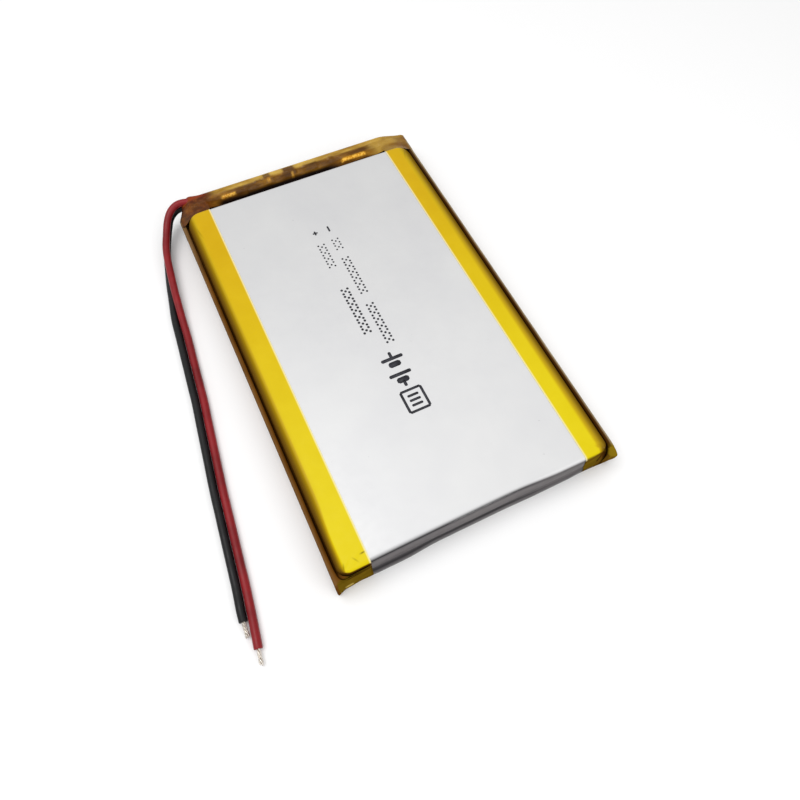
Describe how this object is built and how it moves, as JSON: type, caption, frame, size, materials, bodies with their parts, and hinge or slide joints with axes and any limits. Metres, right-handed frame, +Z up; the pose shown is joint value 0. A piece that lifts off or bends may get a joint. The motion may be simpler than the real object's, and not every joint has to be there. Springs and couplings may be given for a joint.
{
  "type": "pouch battery cell",
  "caption": "Flat lithium polymer pouch cell with folded side seals, edge tapes, a taped protection board and two bare-ended leads.",
  "frame": {"origin": "middle of the flat back, on the surface that the cell lies on", "axes": "+X across the width, +Y along the length towards the protection board and the leads, +Z up out of the drawn face"},
  "size_m": [0.0713, 0.0949, 0.0073],
  "materials": {
    "pouch_film": "satin nylon-faced aluminium laminate",
    "yellow_tape": "clear yellow adhesive tape, smooth and glossy",
    "amber_tape": "amber polyimide tape, glossy and creased",
    "cathode_coating": "matt calendered oxide coating on aluminium foil",
    "anode_coating": "matt graphite coating on copper foil",
    "separator_film": "matt white microporous film",
    "stack_tape": "green polyester tape",
    "aluminium_tab": "rolled strip",
    "nickel": "rolled nickel strip",
    "tab_sealant": "heat-sealed polypropylene film",
    "board_laminate": "green solder mask on glass laminate",
    "chip_moulding": "moulded epoxy",
    "resistor_body": "glazed thick film",
    "capacitor_body": "fired ceramic",
    "insulating_paper": "pressed insulating paper",
    "adhesive_foam": "double-sided foam tape",
    "solder": "bright solder",
    "red_insulation": "smooth soft insulation, slightly glossy",
    "black_insulation": "smooth soft insulation, slightly glossy",
    "tinned_copper": "twisted tinned strands"
  },
  "bodies": {
    "root": {"pouch_cup": "pouch_film", "pouch_base": "pouch_film", "side_seal_left": "pouch_film", "side_seal_right": "pouch_film", "edge_tape_left": "yellow_tape", "edge_tape_right": "yellow_tape", "board_tape": "amber_tape", "cathode_plates": "cathode_coating", "anode_plates": "anode_coating", "separator": "separator_film", "stack_tapes": "stack_tape", "positive_tab": "aluminium_tab", "negative_tab": "nickel", "tab_sealants": "tab_sealant", "circuit_board": "board_laminate", "protection_ic": "chip_moulding", "power_mosfets": "chip_moulding", "resistors": "resistor_body", "capacitors": "capacitor_body", "nickel_straps": "nickel", "insulating_paper": "insulating_paper", "adhesive_pad": "adhesive_foam", "solder_joints": "solder", "red_lead": "red_insulation", "black_lead": "black_insulation", "red_strands": "tinned_copper", "black_strands": "tinned_copper"}
  },
  "joints": []
}
